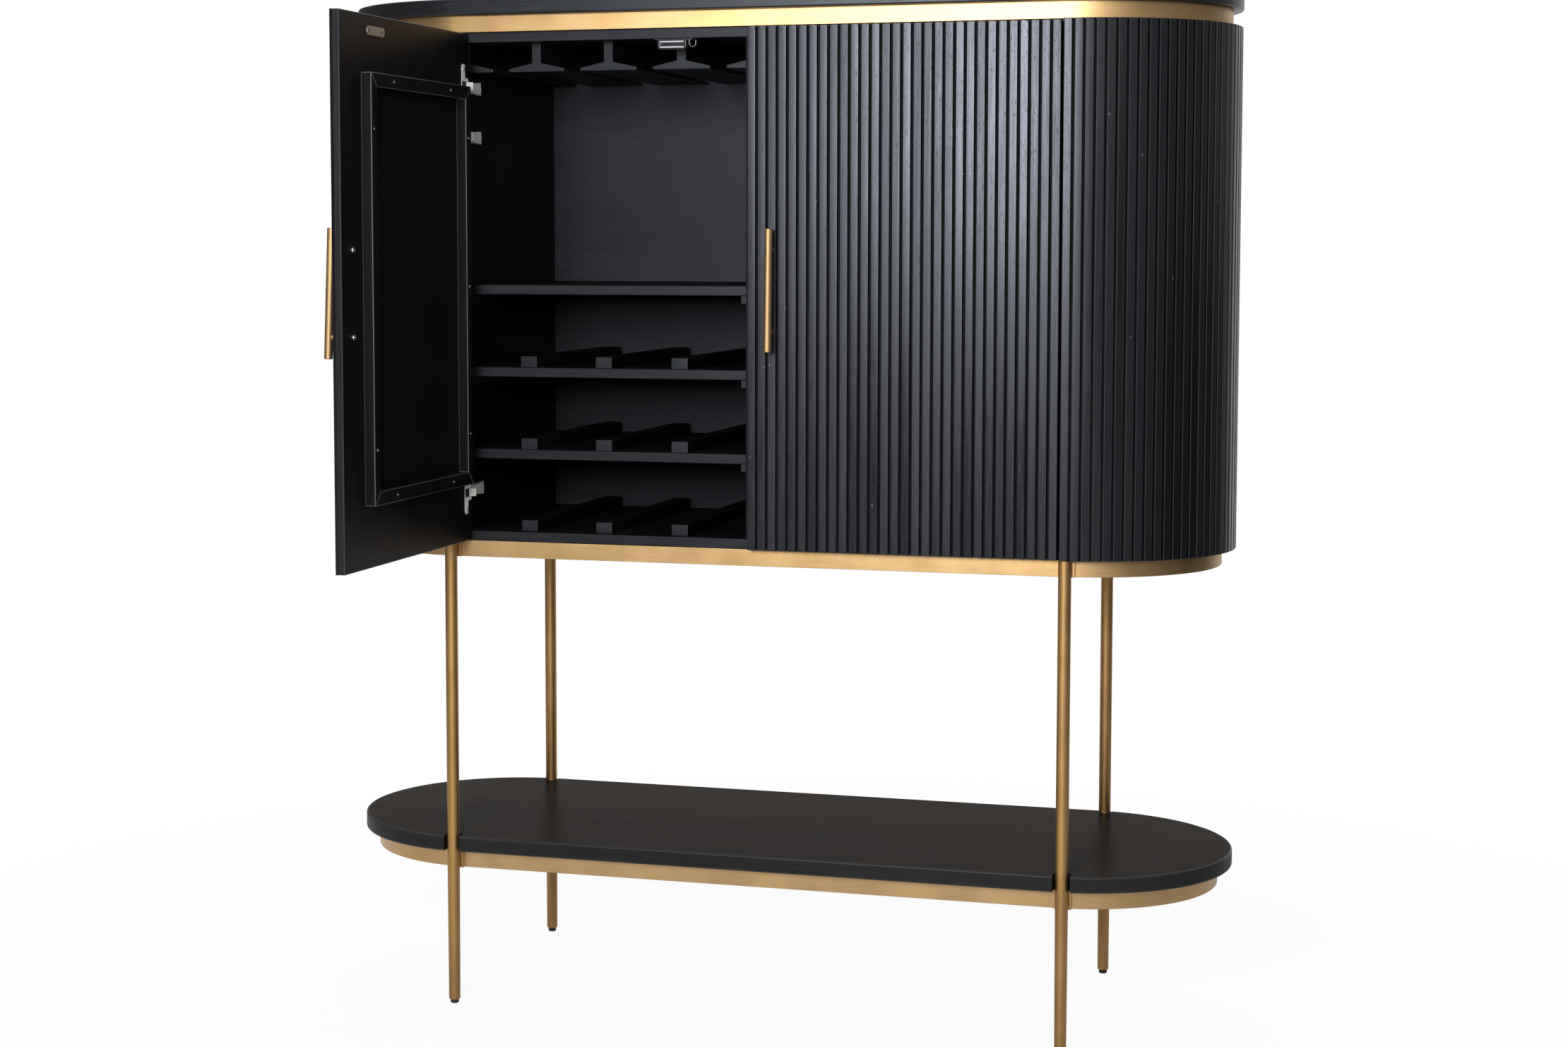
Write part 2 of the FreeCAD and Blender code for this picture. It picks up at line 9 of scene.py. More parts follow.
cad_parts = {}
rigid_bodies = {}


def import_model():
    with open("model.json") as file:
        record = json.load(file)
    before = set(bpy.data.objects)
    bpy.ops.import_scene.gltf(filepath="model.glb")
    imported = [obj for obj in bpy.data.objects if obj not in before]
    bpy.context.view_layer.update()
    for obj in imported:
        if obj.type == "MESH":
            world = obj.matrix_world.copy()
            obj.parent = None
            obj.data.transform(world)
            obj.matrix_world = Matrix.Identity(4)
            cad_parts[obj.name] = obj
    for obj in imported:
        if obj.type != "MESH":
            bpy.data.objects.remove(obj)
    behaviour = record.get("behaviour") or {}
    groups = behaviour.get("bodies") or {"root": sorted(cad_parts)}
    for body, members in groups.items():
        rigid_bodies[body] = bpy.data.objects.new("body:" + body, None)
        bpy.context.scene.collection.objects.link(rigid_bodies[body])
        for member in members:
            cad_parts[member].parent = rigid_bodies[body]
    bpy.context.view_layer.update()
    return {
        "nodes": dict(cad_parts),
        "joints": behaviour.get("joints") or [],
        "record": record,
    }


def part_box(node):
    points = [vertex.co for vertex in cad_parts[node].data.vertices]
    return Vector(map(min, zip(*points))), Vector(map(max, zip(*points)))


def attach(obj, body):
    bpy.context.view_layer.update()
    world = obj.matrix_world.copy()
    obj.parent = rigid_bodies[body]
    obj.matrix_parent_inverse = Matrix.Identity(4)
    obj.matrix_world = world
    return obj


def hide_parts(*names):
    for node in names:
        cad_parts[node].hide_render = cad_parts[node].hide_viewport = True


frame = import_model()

# Looks of a bar cabinet with round slatted ends, on tube legs. Metres, X right, -Y front, +Z up.

bodies = frame["record"]["behaviour"]["bodies"]
body_of = {node: body for body, nodes in bodies.items() for node in nodes}
joints = {joint["name"]: joint for joint in frame["joints"]}

mm = 0.001
tiny = 0.01 * mm
slab_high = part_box("top_slab")[1]
half_straight = slab_high.x - slab_high.y
leg_nodes = ("front_left_leg", "front_right_leg", "rear_left_leg", "rear_right_leg")

# Sides of round pieces
end_steps = 64                      # facets of each round end of the outline
leg_sides = 48
handle_sides = 40
post_sides = 32
screw_sides = 16
wire_sides = 12

# Rounds of edges
slab_round = 2.6 * mm
band_round = 0.7 * mm
leg_end_round = 2 * mm
cap_round = 1.9 * mm
board_round = 0.8 * mm
thin_board_round = 0.5 * mm
rail_round = 1 * mm
slat_round = 1.1 * mm
panel_round = 1.2 * mm
handle_end_round = 1.4 * mm
cup_round = 0.25 * mm
arm_round = 0.4 * mm
catch_round = 0.5 * mm
strike_round = 0.3 * mm
pole_round = 0.3 * mm

# Sizes that the frame's boxes don't give
band_width = 12 * mm
leg_foot_radius = 8.75 * mm
front_notch_half = 13 * mm
rear_notch_half = 10 * mm
notch_depth = 22.5 * mm
cutter_spare = 10 * mm              # what a cutter reaches past the board that it cuts
frame_bar = 20 * mm
frame_screw_inset = 78 * mm
handle_radius = 6 * mm
handle_end_reach = 0.6 * mm         # points this near to its end belong to the handle bar's end
post_radius = 4 * mm
cup_wing = 13 * mm
cup_screw_lift = 25 * mm
arm_merge = 0.3 * mm                # points of a hinge arm nearer than this are made one
arm_flare = 21.5 * mm               # rear stretch of a hinge arm, with its flared end
arm_extra = 19 * mm                 # the arms reach further back than the frame's
arm_plate_extra = 27 * mm
arm_plate_end = 1 * mm
arm_plate_thickness = 2 * mm
plate_screw_inset = 4.5 * mm
plate_screw_lift = 6 * mm
pole_half_length = 18.5 * mm
pole_half_height = 1.1 * mm
pole_lift = 4 * mm
pole_proud = 0.15 * mm              # what a pole plate stands out of its housing
pole_depth = 2 * mm
strike_screw_reach = 21 * mm
strike_screw_sink = 0.6 * mm
hook_aside = 4.5 * mm               # place of the wire hook at the catch's plate
hook_back = 9 * mm
hook_down = 2 * mm

# Radius and height of screw heads
frame_screw = (3 * mm, 1.2 * mm)
cup_screw = (3.6 * mm, 1.4 * mm)
plate_screw = (2.6 * mm, 1.6 * mm)
strike_screw = (2.4 * mm, 0.5 * mm)
screw_spin = 0.7                    # turn from one screw's slot to the next one's

# Angles between faces
round_limit = math.radians(35)
smooth_limit = math.radians(40)
flat_limit = math.radians(0.5)

# Shares of a normal or an edge along an axis, by which faces and edges are told apart
parallel = 0.99
square = 0.985
level = 0.9
plate_like = 0.7
rail_side = 0.3
upright = 0.2
slat_edge_shares = (0.3, 0.97)


# Selecting and shaping


def deselect():
    if bpy.context.mode != "OBJECT":
        bpy.ops.object.mode_set(mode="OBJECT")
    bpy.ops.object.select_all(action="DESELECT")


def take(piece):
    """Makes a piece the only selected one."""
    deselect()
    piece.select_set(True)
    bpy.context.view_layer.objects.active = piece


def edit(piece):
    take(piece)
    bpy.ops.object.mode_set(mode="EDIT")


def pick(kind, test):
    """Selects the verts or edges that a test names, in edit mode."""
    bpy.ops.mesh.select_mode(type={"verts": "VERT", "edges": "EDGE"}[kind])
    bpy.ops.mesh.select_all(action="DESELECT")
    mesh = bmesh.from_edit_mesh(bpy.context.object.data)
    for item in getattr(mesh, kind):
        if test(item):
            item.select_set(True)
    mesh.select_flush_mode()
    bmesh.update_edit_mesh(bpy.context.object.data)


def middle(edge):
    return (edge.verts[0].co + edge.verts[1].co) / 2


def runs_along(edge, axis):
    """True for an edge that is parallel to an axis, 0 to 2."""
    way = edge.verts[1].co - edge.verts[0].co
    return abs(way[axis]) > parallel * way.length


def extrude(way):
    bpy.ops.mesh.extrude_region_move(TRANSFORM_OT_translate={"value": way})


def face_outwards():
    bpy.ops.mesh.select_all(action="SELECT")
    bpy.ops.mesh.normals_make_consistent(inside=False)


def settle_place():
    bpy.ops.object.transform_apply(location=True, rotation=True, scale=True)


def modify(piece, kind, **settings):
    """Adds a modifier with its settings and applies it."""
    take(piece)
    modifier = piece.modifiers.new(kind.lower(), kind)
    for name, value in settings.items():
        setattr(modifier, name, value)
    bpy.ops.object.modifier_apply(modifier=modifier.name)


def ease(piece, width, segments=2):
    """Rounds all sharp edges."""
    limits = {"limit_method": "ANGLE", "angle_limit": round_limit}
    modify(piece, "BEVEL", width=width, segments=segments, **limits)


def smooth(piece):
    """Shades the rounds softly and keeps the flats flat."""
    take(piece)
    bpy.ops.object.shade_smooth_by_angle(angle=smooth_limit)
    modify(piece, "WEIGHTED_NORMAL", keep_sharp=True)


def cut(piece, cutter, operation="DIFFERENCE"):
    modify(piece, "BOOLEAN", object=cutter, operation=operation, solver="EXACT")
    bpy.data.objects.remove(cutter)


def copied(piece, place):
    """A copy with its own mesh, moved, turned or mirrored by a matrix."""
    take(piece)
    bpy.ops.object.duplicate()
    other = bpy.context.object
    other.matrix_world = place
    settle_place()
    if place.determinant() < 0:
        edit(other)
        face_outwards()
        deselect()
    return other


def joined(pieces):
    """Several pieces made one object."""
    deselect()
    for piece in pieces:
        piece.select_set(True)
    bpy.context.view_layer.objects.active = pieces[0]
    bpy.ops.object.join()
    return pieces[0]


def settle(piece, name, body, finish, *nodes):
    """Names a finished piece, gives it its finish and hangs it on a body."""
    deselect()
    piece.name = name
    piece.data.name = name
    piece.data.materials.clear()
    piece.data.materials.append(finish.material)
    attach(piece, body)
    if nodes:
        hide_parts(*nodes)
    return piece


def refinish(piece, finish, test):
    """Gives another finish to the faces that a test names by their normal and middle."""
    piece.data.materials.append(finish.material)
    for face in piece.data.polygons:
        if test(face.normal, face.center):
            face.material_index = len(piece.data.materials) - 1


def slants(normal):
    """True for a face that lies square to no axis, such as a rounded edge."""
    return max(abs(value) for value in normal) < square


def solids(node):
    """Low and high corners of each separate solid of a node, from the lowest X, Y and Z up."""
    mesh = bmesh.new()
    mesh.from_mesh(frame["nodes"][node].data)
    bmesh.ops.remove_doubles(mesh, verts=mesh.verts, dist=tiny)
    waiting = set(mesh.verts)
    found = []
    while waiting:
        island = [waiting.pop()]
        for vert in island:
            for edge in vert.link_edges:
                other = edge.other_vert(vert)
                if other in waiting:
                    waiting.discard(other)
                    island.append(other)
        low = Vector([min(vert.co[axis] for vert in island) for axis in range(3)])
        high = Vector([max(vert.co[axis] for vert in island) for axis in range(3)])
        found.append((low, high))
    mesh.free()
    return sorted(found, key=lambda pair: tuple(round(value, 4) for value in pair[0]))


# Turns, and places of the doors

faces_front = Matrix.Rotation(math.pi / 2, 4, "X")
faces_back = Matrix.Rotation(-math.pi / 2, 4, "X")
faces_left = Matrix.Rotation(-math.pi / 2, 4, "Y")
mirror = Matrix.Scale(-1, 4, (1, 0, 0))
hinge = joints["left_door_hinge"]
left_pivot = Matrix.Translation((hinge["pos_m"][0], hinge["pos_m"][1], 0))
left_turn = Matrix.Rotation(math.radians(hinge["range_deg"][0]), 4, "Z")
left_open = left_pivot @ left_turn @ left_pivot.inverted() @ mirror

# What turns a normal on a door back to its way on the shut right door
door_ways = {"right": Matrix.Identity(3), "left": left_open.to_3x3().inverted()}


def settle_pair(piece, place, on_doors, kind, finish, node):
    """Settles a piece of the right side, and its copy at a place on the left."""
    for side, part in (("right", piece), ("left", copied(piece, place))):
        smooth(part)
        body = f"{side}_door" if on_doors else "cabinet"
        nodes = (f"{side}_{node}",) if node else ()
        settle(part, f"{side}_{kind}", body, finish, *nodes)


def on_both_doors(piece, kind, finish, node=None):
    """Settles a piece of the shut right door, and its mirrored copy on the open left one."""
    settle_pair(piece, left_open, True, kind, finish, node)


def on_both_sides(piece, kind, finish, node=None):
    """Settles a fixed piece on the right, and its mirrored copy on the left."""
    settle_pair(piece, mirror, False, kind, finish, node)


# Finishes


class Value:
    """A shader value; sums and products of values add Math nodes."""

    def __init__(self, finish, socket):
        self.finish = finish
        self.socket = socket

    def math(self, operation, first, second):
        return self.finish.node("ShaderNodeMath", {"operation": operation}, {0: first, 1: second})

    def __add__(self, other):
        return self.math("ADD", self, other)

    def __radd__(self, other):
        return self.math("ADD", other, self)

    def __sub__(self, other):
        return self.math("SUBTRACT", self, other)

    def __rsub__(self, other):
        return self.math("SUBTRACT", other, self)

    def __mul__(self, other):
        return self.math("MULTIPLY", self, other)

    def __rmul__(self, other):
        return self.math("MULTIPLY", other, self)


class Finish:
    """A material in the making, with the record's slot that it belongs to."""

    def __init__(self, name, slot, constants=()):
        self.slot = slot
        self.material = bpy.data.materials.new(name)
        self.material.use_nodes = True
        self.tree = self.material.node_tree
        self.shader = self.tree.nodes["Principled BSDF"]
        for socket, value in dict(constants).items():
            self.shader.inputs[socket].default_value = value

    def node(self, kind, settings=(), sockets=(), output=0):
        """Adds a node with its settings first, then the values or links of its sockets."""
        node = self.tree.nodes.new(kind)
        for name, value in dict(settings).items():
            setattr(node, name, value)
        for key, value in dict(sockets).items():
            self.feed(node.inputs[key], value)
        return Value(self, node.outputs[output])

    def feed(self, socket, value):
        if isinstance(value, Value):
            self.tree.links.new(value.socket, socket)
        else:
            socket.default_value = value

    def give(self, **sockets):
        """Feeds the shader's sockets, with words joined by underscores."""
        for name, value in sockets.items():
            self.feed(self.shader.inputs[name.replace("_", " ").title()], value)

    def place(self):
        return self.node("ShaderNodeTexCoord", output="Object")

    def stretched(self, place, scale):
        sockets = {"Vector": place, "Scale": scale}
        return self.node("ShaderNodeMapping", {"vector_type": "POINT"}, sockets)

    def noise(self, place, scale, detail=2.0, roughness=0.5):
        sockets = {"Vector": place, "Scale": scale, "Detail": detail, "Roughness": roughness}
        return self.node("ShaderNodeTexNoise", {}, sockets, "Fac")

    def step(self, value, low, high):
        """Rises smoothly from 0 to 1 between two values."""
        sockets = {"Value": value, "From Min": low, "From Max": high}
        return self.node("ShaderNodeMapRange", {"interpolation_type": "SMOOTHSTEP"}, sockets)

    def mix(self, share, first, second):
        """A colour between two colours."""
        return self.node("ShaderNodeMix", {"data_type": "RGBA"}, {0: share, 6: first, 7: second}, 2)

    def bump(self, height, strength, distance):
        sockets = {"Height": height, "Strength": strength, "Distance": distance}
        return self.node("ShaderNodeBump", {}, sockets, "Normal")


# Scales of the patterns, per metre, and depths of their relief
grain_ways = {"X": (0.03, 1, 1), "Y": (1, 0.03, 1), "Z": (1, 1, 0.03)}
wood_cloud = 9.0
wood_streaks = 330.0
wood_fibres = 1500.0
wood_pores = 900.0
wood_specks = 75.0
wood_relief = 0.25 * mm
metal_marks = 1400.0
metal_cloud = 14.0
metal_relief = 0.1 * mm
plastic_grit = 2600.0
plastic_cloud = 60.0
plastic_relief = 0.1 * mm


def shortened(ways, power):
    """Scales of a pattern that is less drawn out along the grain; a power of 1 keeps them."""
    return tuple(way ** power for way in ways)


def stained_wood(name, slot, grain, tones, gloss, roughness, sheen, varied=False, specks=0.0):
    """Open-pored wood under a dark stain; grain is the axis that it runs along."""
    wood = Finish(name, slot, {"Specular IOR Level": gloss, "Specular Tint": sheen})
    dark, light = tones
    ways = grain_ways[grain]
    place = wood.place()
    shade = 0.0
    if varied:
        # Each strip has its own tone, and takes its own stretch of the pattern
        tone = wood.node("ShaderNodeAttribute", {"attribute_name": "tone"}, {}, "Fac")
        shift = wood.node("ShaderNodeCombineXYZ", {}, {0: tone * 7.0, 1: tone * 11.0, 2: tone * 5.0})
        place = wood.node("ShaderNodeVectorMath", {"operation": "ADD"}, {0: place, 1: shift})
        shade = (tone - 0.5) * 0.5
        roughness = roughness + (tone - 0.5) * 0.1
    along = wood.stretched(place, ways)
    cloud = wood.noise(wood.stretched(place, shortened(ways, 0.4)), wood_cloud, 3.0)
    streaks = wood.noise(along, wood_streaks, 3.0, 0.6)
    fibres = wood.noise(along, wood_fibres, 2.0, 0.6)
    pits = wood.noise(wood.stretched(place, shortened(ways, 0.6)), wood_pores, 1.0)
    pores = wood.step(pits, 0.63, 0.72)
    share = cloud * 0.55 + streaks * 0.55 + fibres * 0.25 - 0.2 + shade
    colour = wood.mix(wood.step(share, 0.05, 0.95), dark, light)
    pore_colour = tuple(0.4 * value for value in dark[:3]) + (1.0,)
    colour = wood.mix(pores * 0.6, colour, pore_colour)
    if specks:
        cells = {"Vector": wood.stretched(place, shortened(ways, 0.25)), "Scale": wood_specks}
        settings = {"feature": "F1"}
        cell = wood.node("ShaderNodeTexVoronoi", settings, cells, "Distance")
        lot = wood.node("ShaderNodeTexVoronoi", settings, cells, "Color")
        chosen = wood.step(wood.node("ShaderNodeSeparateColor", {}, {0: lot}), 0.82, 0.9)
        dots = (1.0 - wood.step(cell, 0.03, 0.07)) * chosen
        colour = wood.mix(dots * specks, colour, speck_colour)
    wood.give(
        base_color=colour,
        roughness=roughness + (streaks - 0.5) * 0.22 + (cloud - 0.5) * 0.12 + pores * 0.12,
        normal=wood.bump(streaks * 0.6 + fibres * 0.3 - pores * 0.5, 0.16, wood_relief),
    )
    return wood


def satin_metal(name, brush, dark, light, roughness, metallic=1.0):
    """Plated metal with fine brush marks along an axis, or along both X and Y for a ring."""
    slot = "satin_brass" if name.endswith("brass") else "nickel"
    metal = Finish(name, slot, {"Metallic": metallic})
    place = metal.place()
    marks = metal.noise(metal.stretched(place, brush), metal_marks, 2.0, 0.6)
    cloud = metal.noise(place, metal_cloud, 3.0)
    share = metal.step(cloud * 0.6 + marks * 0.4, 0.3, 0.7)
    metal.give(
        base_color=metal.mix(share, (*dark, 1.0), (*light, 1.0)),
        roughness=roughness * (0.65 + marks * 0.45 + cloud * 0.25),
        normal=metal.bump(marks, 0.06, metal_relief),
    )
    return metal


def moulded_plastic(name, slot):
    plastic = Finish(name, slot, {"Specular IOR Level": 0.4})
    place = plastic.place()
    grit = plastic.noise(place, plastic_grit, 2.0)
    cloud = plastic.noise(place, plastic_cloud, 2.0)
    plastic.give(
        base_color=plastic.mix(cloud, plastic_dark, plastic_light),
        roughness=0.5 + (grit - 0.5) * 0.25,
        normal=plastic.bump(grit, 0.2, plastic_relief),
    )
    return plastic


# Tints of the sheen, and dark and light tones of each stain
blue_sheen = (0.84, 0.885, 1.0, 1)
cool_sheen = (0.86, 0.93, 1.0, 1)
plain_sheen = (0.97, 0.98, 1.0, 1)
cool_tones = ((0.0035, 0.0037, 0.0042, 1), (0.015, 0.0155, 0.0175, 1))
slat_tones = ((0.0018, 0.0019, 0.0022, 1), (0.008, 0.0083, 0.0094, 1))
warm_tones = ((0.0142, 0.0102, 0.0077, 1), (0.0352, 0.0264, 0.0202, 1))
inner_tones = ((0.002, 0.002, 0.0022, 1), (0.009, 0.009, 0.010, 1))
board_tones = (inner_tones[0], cool_tones[1])
rim_tones = ((0.0095, 0.0092, 0.0092, 1), (0.0245, 0.024, 0.0242, 1))
# Lighter tones for rounded edges: a painted highlight where the edges catch the lamps
dim_highlight_tones = ((0.02, 0.0201, 0.0206, 1), (0.04, 0.0403, 0.0413, 1))
# Brighter tones for the frame's rounded edges: a painted highlight
bright_highlight_tones = ((0.045, 0.0455, 0.047, 1), (0.09, 0.091, 0.094, 1))
speck_colour = (0.42, 0.43, 0.45, 1)
plastic_dark = (0.008, 0.008, 0.008, 1)
plastic_light = (0.02, 0.02, 0.021, 1)

# Each wood: its slot, the way of the grain, tones, gloss, roughness and the tint of its sheen
outer = "charcoal_wood"
slat_wood = stained_wood("slat_wood", outer, "Z", slat_tones, 0.34, 0.32, blue_sheen,
                         varied=True, specks=0.5)
# Rounded edges of the end slats, door boards and lower shelf: lighter wood as a painted highlight
end_edge_wood = stained_wood("end_edge_wood", outer, "Z", dim_highlight_tones, 0.14, 0.4, plain_sheen)
groove_wood = stained_wood("groove_wood", outer, "Z", inner_tones, 0.08, 0.75, cool_sheen)
door_wood = stained_wood("door_wood", outer, "Z", inner_tones, 0.07, 0.45, plain_sheen)
slab_wood = stained_wood("slab_wood", outer, "X", cool_tones, 0.34, 0.36, cool_sheen)
top_wood = stained_wood("top_wood", outer, "X", cool_tones, 0.03, 0.6, cool_sheen)
edge_wood = stained_wood("edge_wood", outer, "Z", cool_tones, 0.22, 0.4, plain_sheen)
# Lighter wood for the frame bars' rounded edges: a painted highlight
worn_wood = stained_wood("worn_wood", outer, "X", bright_highlight_tones, 0.3, 0.4, plain_sheen)
rim_wood = stained_wood("rim_wood", outer, "X", rim_tones, 0.1, 0.45, plain_sheen)
shelf_wood = stained_wood("shelf_wood", outer, "X", warm_tones, 0.0025, 0.3, plain_sheen)

inside = "interior_wood"
upright_wood = stained_wood("upright_wood", inside, "Z", inner_tones, 0.1, 0.5, plain_sheen)
inner_wood = stained_wood("inner_wood", inside, "Y", inner_tones, 0.06, 0.6, plain_sheen)
board_wood = stained_wood("board_wood", inside, "X", board_tones, 0.25, 0.42, blue_sheen)
rail_wood = stained_wood("rail_wood", inside, "Y", board_tones, 0.25, 0.45, cool_sheen)

# Each metal: the way of its brush marks, a dark and a light tone, roughness and share of bare metal
up_brush = (1, 1, 0.01)
ring_brush = (0.01, 0.01, 1)
cross_brush = (0.05, 1, 1)
no_brush = (1, 1, 1)
leg_brass = satin_metal("leg_brass", up_brush, (0.37, 0.207, 0.076), (0.46, 0.268, 0.107), 0.46)
band_brass = satin_metal("band_brass", ring_brush, (0.42, 0.262, 0.112), (0.53, 0.345, 0.165), 0.42)
# A brighter copy of the band brass for the lower band: painted light
shelf_brass = satin_metal("shelf_brass", ring_brush, (0.46, 0.292, 0.135), (0.57, 0.372, 0.18), 0.38)
handle_brass = satin_metal("handle_brass", up_brush, (0.34, 0.216, 0.104), (0.435, 0.28, 0.135), 0.52)
nickel = satin_metal("nickel_plate", up_brush, (0.36, 0.35, 0.32), (0.52, 0.50, 0.47), 0.42, 0.6)
cast_zinc = satin_metal("cast_zinc", up_brush, (0.42, 0.41, 0.38), (0.54, 0.53, 0.50), 0.45, 0.15)
# A much paler copy of the cast zinc for faces that should look lit: painted light
pale_zinc = satin_metal("pale_zinc", up_brush, (0.82, 0.80, 0.75), (0.9, 0.88, 0.83), 0.45, 0.05)
chrome = satin_metal("catch_chrome", cross_brush, (0.045, 0.045, 0.048), (0.075, 0.075, 0.08), 0.12, 0.4)
bright_steel = satin_metal("bright_steel", cross_brush, (0.62, 0.62, 0.64), (0.76, 0.76, 0.78), 0.25)
pole_steel = satin_metal("pole_steel", cross_brush, (0.52, 0.52, 0.54), (0.62, 0.62, 0.64), 0.12, 0.2)
dull_nickel = satin_metal("dull_nickel", cross_brush, (0.20, 0.185, 0.17), (0.29, 0.27, 0.25), 0.42, 0.6)
dark_steel = satin_metal("dark_steel", no_brush, (0.12, 0.12, 0.12), (0.22, 0.22, 0.22), 0.3)
# Near-black screw heads for the strike plates: painted shade of the screw holes
black_steel = satin_metal("black_steel", no_brush, (0.006, 0.006, 0.006), (0.016, 0.016, 0.016), 0.6, 0.0)
plastic = moulded_plastic("foot_plastic", "black_plastic")


# Starts for pieces


def block(low, high):
    """A box between two corners."""
    deselect()
    low = Vector(low)
    high = Vector(high)
    bpy.ops.mesh.primitive_cube_add(size=1, location=(low + high) / 2)
    piece = bpy.context.object
    piece.scale = high - low
    settle_place()
    return piece


def disc(radius, centre, sides):
    """A round flat face, left in edit mode and selected."""
    deselect()
    bpy.ops.mesh.primitive_circle_add(vertices=sides, radius=radius, location=centre, fill_type="NGON")
    piece = bpy.context.object
    settle_place()
    edit(piece)
    bpy.ops.mesh.select_all(action="SELECT")
    return piece


def stadium(radius, height):
    """A loop with two straight sides and two round ends, left in edit mode."""
    deselect()
    bpy.ops.mesh.primitive_circle_add(vertices=2 * end_steps, radius=radius, location=(0, 0, height))
    piece = bpy.context.object
    settle_place()
    edit(piece)
    pick("edges", lambda edge: middle(edge).x > 0)
    bpy.ops.mesh.split()
    bpy.ops.transform.translate(value=(half_straight, 0, 0))
    bpy.ops.mesh.select_all(action="INVERT")
    bpy.ops.transform.translate(value=(-half_straight, 0, 0))
    for side in (-radius, radius):
        pick("verts", lambda vert: abs(vert.co.y - side) < tiny)
        bpy.ops.mesh.edge_face_add()
    return piece


def screw(radius, height):
    """A pan head with a cross slot, seated on the XY plane."""
    piece = disc(radius, (0, 0, 0), screw_sides)
    extrude((0, 0, height))
    pick("edges", lambda edge: min(vert.co.z for vert in edge.verts) > height - tiny)
    crown = 0.55 * height
    bpy.ops.mesh.bevel(offset=crown, segments=2, profile=0.6, affect="EDGES")
    face_outwards()
    deep = 0.4 * height
    wide = 0.16 * radius
    reach = 0.62 * radius
    slot = block((-reach, -wide, deep), (reach, wide, 2 * height))
    cross = block((-wide, -reach, deep), (wide, reach, 2 * height))
    cut(slot, cross, "UNION")
    cut(piece, slot)
    return piece


def screws(radius, height, turn, points):
    """Screw heads at several points, as one piece; each has its slot at another angle."""
    first = screw(radius, height)
    placed = []
    for index, point in enumerate(points):
        spin = Matrix.Rotation(screw_spin * index, 4, "Z")
        placed.append(copied(first, Matrix.Translation(point) @ turn @ spin))
    bpy.data.objects.remove(first)
    return joined(placed)


def eased_copy(node, finish, width, segments=2, merge=tiny):
    """A copy of a node with its sharp edges rounded, after points nearer than merge are made one."""
    piece = bpy.data.objects.new(f"{node}_eased", frame["nodes"][node].data.copy())
    bpy.context.scene.collection.objects.link(piece)
    take(piece)
    if piece.data.has_custom_normals:
        bpy.ops.mesh.customdata_custom_splitnormals_clear()
    edit(piece)
    bpy.ops.mesh.select_all(action="SELECT")
    bpy.ops.mesh.remove_doubles(threshold=merge)
    bpy.ops.mesh.dissolve_limited(angle_limit=flat_limit)
    deselect()
    ease(piece, width, segments)
    smooth(piece)
    return settle(piece, piece.name, body_of[node], finish, node)


# Slabs and bands


def slab(node):
    """A plate with two round ends, at the height of a node."""
    low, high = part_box(node)
    plate = stadium(high.y, low.z)
    bpy.ops.mesh.select_all(action="SELECT")
    bpy.ops.mesh.edge_face_add()
    extrude((0, 0, high.z - low.z))
    face_outwards()
    return plate


def top_slab():
    plate = slab("top_slab")
    ease(plate, slab_round, segments=3)
    smooth(plate)
    settle(plate, "top_slab_board", "cabinet", slab_wood, "top_slab")
    refinish(plate, top_wood, lambda normal, spot: normal.z > square)


def lower_shelf():
    """The open shelf, notched where the legs pass once its edges are round."""
    low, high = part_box("lower_shelf")
    plate = slab("lower_shelf")
    ease(plate, slab_round, segments=3)
    for node in leg_nodes:
        leg_low, leg_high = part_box(node)
        x = (leg_low.x + leg_high.x) / 2
        side = 1 if leg_low.y > 0 else -1
        half = rear_notch_half if side > 0 else front_notch_half
        ys = sorted((side * (high.y - notch_depth), side * (high.y + notch_depth)))
        start = (x - half, ys[0], low.z - cutter_spare)
        end = (x + half, ys[1], high.z + cutter_spare)
        cut(plate, block(start, end))
    smooth(plate)
    settle(plate, "lower_shelf_board", "cabinet", shelf_wood, "lower_shelf")
    refinish(plate, rim_wood, lambda normal, spot: abs(normal.z) < upright)
    # The shelf's rounded edges take lighter wood, a painted highlight
    refinish(plate, end_edge_wood, lambda normal, spot: upright < abs(normal.z) < square)


def band(node, finish):
    """A flat metal ring that follows the outline."""
    low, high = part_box(node)
    ring = stadium(high.y, low.z)
    bpy.ops.mesh.select_all(action="SELECT")
    extrude((0, 0, high.z - low.z))
    face_outwards()
    modify(ring, "SOLIDIFY", thickness=band_width, offset=-1, use_even_offset=True)
    ease(ring, band_round)
    smooth(ring)
    settle(ring, f"{node}_ring", "cabinet", finish, node)


# Legs and feet


def legs():
    """Four tubes that taper below the shelf and turn in at the foot."""
    low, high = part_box("front_right_leg")
    radius = (high.x - low.x) / 2
    taper_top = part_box("shelf_band")[0].z
    tube = disc(leg_foot_radius, (0, 0, low.z), leg_sides)
    extrude((0, 0, taper_top - low.z))
    grow = radius / leg_foot_radius
    bpy.ops.transform.resize(value=(grow, grow, 1), center_override=(0, 0, taper_top))
    extrude((0, 0, high.z - taper_top))
    pick("edges", lambda edge: max(vert.co.z for vert in edge.verts) < low.z + tiny)
    bpy.ops.mesh.bevel(offset=leg_end_round, segments=4, affect="EDGES")
    face_outwards()
    for node in leg_nodes:
        leg_low, leg_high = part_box(node)
        centre = (leg_low + leg_high) / 2
        leg = copied(tube, Matrix.Translation((centre.x, centre.y, 0)))
        smooth(leg)
        settle(leg, f"{node}_tube", "cabinet", leg_brass, node)
    bpy.data.objects.remove(tube)


